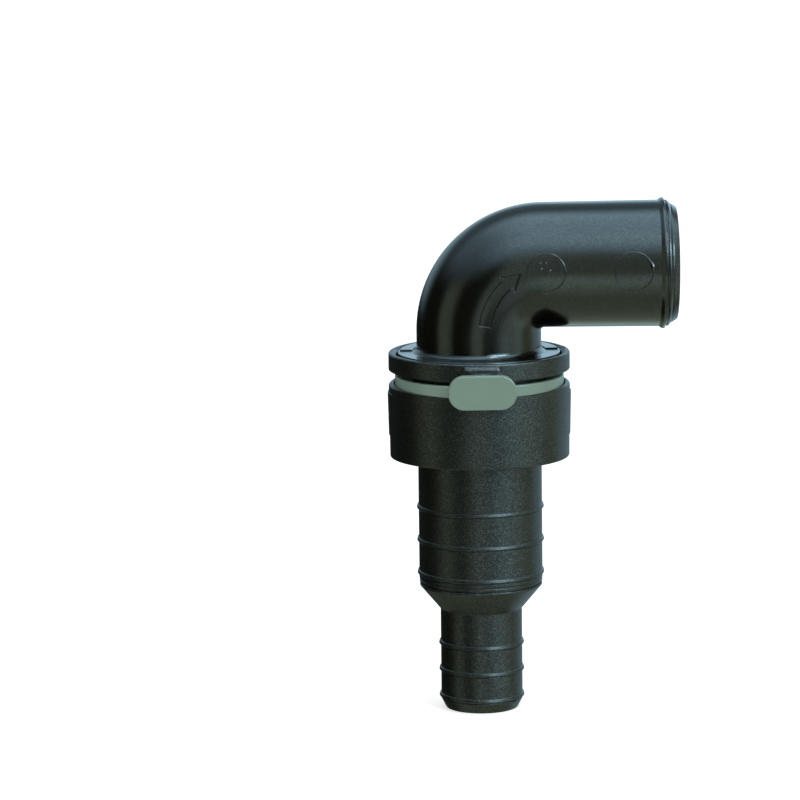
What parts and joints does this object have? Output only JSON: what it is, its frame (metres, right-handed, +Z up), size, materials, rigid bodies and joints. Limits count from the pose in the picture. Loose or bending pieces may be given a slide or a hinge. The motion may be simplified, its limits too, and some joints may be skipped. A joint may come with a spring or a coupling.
{
  "type": "non-return valve",
  "caption": "In-line non-return valve for flexible hose: stepped barbed inlet tail, clipped-in swivelling elbow outlet and a hinged rubber-faced flap that closes against back flow.",
  "frame": {"origin": "centre of the inlet end face, on the axis of the hose tails", "axes": "+Z up the valve along the hose tails in the direction of flow, +X along the outlet spigot, -Y towards the thumb tab of the retaining clip"},
  "size_m": [0.0891, 0.0599, 0.1583],
  "materials": {
    "grained_nylon": "fine grained black glass-filled nylon",
    "smooth_nylon": "smooth satin black glass-filled nylon",
    "clip_acetal": "satin grey-green acetal",
    "natural_acetal": "satin natural acetal",
    "seal_rubber": "matte nitrile rubber",
    "stainless_steel": "drawn stainless wire"
  },
  "bodies": {
    "housing": {"valve_body": "grained_nylon", "valve_seat": "natural_acetal", "seat_gasket": "seal_rubber", "hinge_pin": "stainless_steel"},
    "outlet": {"elbow_outlet": "smooth_nylon", "outlet_o_ring": "seal_rubber"},
    "clip": {"retaining_clip": "clip_acetal"},
    "flap": {"flap": "natural_acetal", "flap_facing": "seal_rubber"}
  },
  "joints": [
    {"name": "elbow_swivel", "type": "hinge", "parent": "housing", "child": "outlet", "pos_m": [0, 0, 0.1035], "axis": [0, 0, 1], "continuous": true},
    {"name": "clip_slide", "type": "slide", "parent": "housing", "child": "clip", "axis": [0, -1, 0], "range_m": [0, 0.045]},
    {"name": "flap_swing", "type": "hinge", "parent": "housing", "child": "flap", "pos_m": [-0.016, 0, 0.09005], "axis": [0, -1, 0], "range_deg": [0, 60]}
  ]
}
